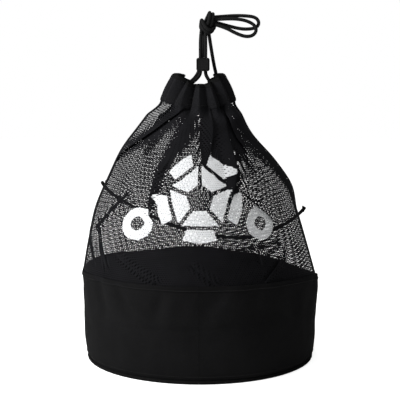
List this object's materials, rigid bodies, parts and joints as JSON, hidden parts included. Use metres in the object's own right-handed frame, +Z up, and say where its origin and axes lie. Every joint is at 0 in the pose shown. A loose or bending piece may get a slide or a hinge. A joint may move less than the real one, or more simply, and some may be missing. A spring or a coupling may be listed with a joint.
{
  "type": "mesh ball bag",
  "caption": "Drum-based mesh sack for sports balls: woven base, net body, gathered collar with drawcord, cord lock and knotted tails, and a carry cord across the back.",
  "frame": {"origin": "middle of the underside of the round base, on the floor", "axes": "+Z up through the gathered mouth, +X towards the viewer's right of the front, -Y out of the front panel"},
  "size_m": [0.4032, 0.4059, 0.583],
  "materials": {
    "base_fabric": "matte",
    "binding_tape": "matte",
    "net": "satin",
    "collar_fabric": "matte",
    "braided_cord": "matte",
    "lock_plastic": "satin",
    "spring_steel": "satin"
  },
  "bodies": {
    "root": {"base_panel": "base_fabric", "bottom_binding": "binding_tape", "base_wall": "base_fabric", "rim_seam_tape": "binding_tape", "mesh_front": "net", "mesh_back": "net", "side_seam_left": "binding_tape", "side_seam_right": "binding_tape", "carry_tab_left": "binding_tape", "carry_tab_right": "binding_tape"},
    "collar": {"collar_casing": "collar_fabric", "collar_hem": "collar_fabric", "collar_seam_tape": "binding_tape", "drawcord_front": "braided_cord", "drawcord_back": "braided_cord"},
    "drawcord_tail": {"strand_left_front": "braided_cord", "strand_left_rear": "braided_cord", "strand_right_front": "braided_cord", "strand_right_rear": "braided_cord", "knot": "braided_cord", "tail_loop_upper": "braided_cord", "tail_loop_lower": "braided_cord"},
    "cord_lock": {"lock_barrel": "lock_plastic", "lock_spring": "spring_steel"},
    "lock_button": {"lock_plunger": "lock_plastic"},
    "carry_cord": {"carry_cord": "braided_cord"}
  },
  "joints": [
    {"name": "bag_collapse", "type": "slide", "parent": "root", "child": "collar", "axis": [0, 0, -1], "range_m": [0, 0.26], "deforming": ["mesh_front", "mesh_back", "side_seam_left", "side_seam_right"]},
    {"name": "cord_tail_swing", "type": "hinge", "parent": "collar", "child": "drawcord_tail", "pos_m": [0, 0, 0.451], "axis": [1, 0, 0], "range_deg": [-25, 45]},
    {"name": "lock_slide", "type": "slide", "parent": "drawcord_tail", "child": "cord_lock", "axis": [0, 0, 1], "range_m": [0, 0.028]},
    {"name": "lock_button_press", "type": "slide", "parent": "cord_lock", "child": "lock_button", "axis": [0, 1, 0], "range_m": [0, 0.0035], "stiffness_N_per_m": 800, "springref_m": -0.004, "deforming": ["lock_spring"]},
    {"name": "carry_cord_lift", "type": "hinge", "parent": "root", "child": "carry_cord", "pos_m": [-0.166, 0.01, 0.294], "axis": [0.9919, 0, -0.1269], "range_deg": [0, 90]}
  ]
}
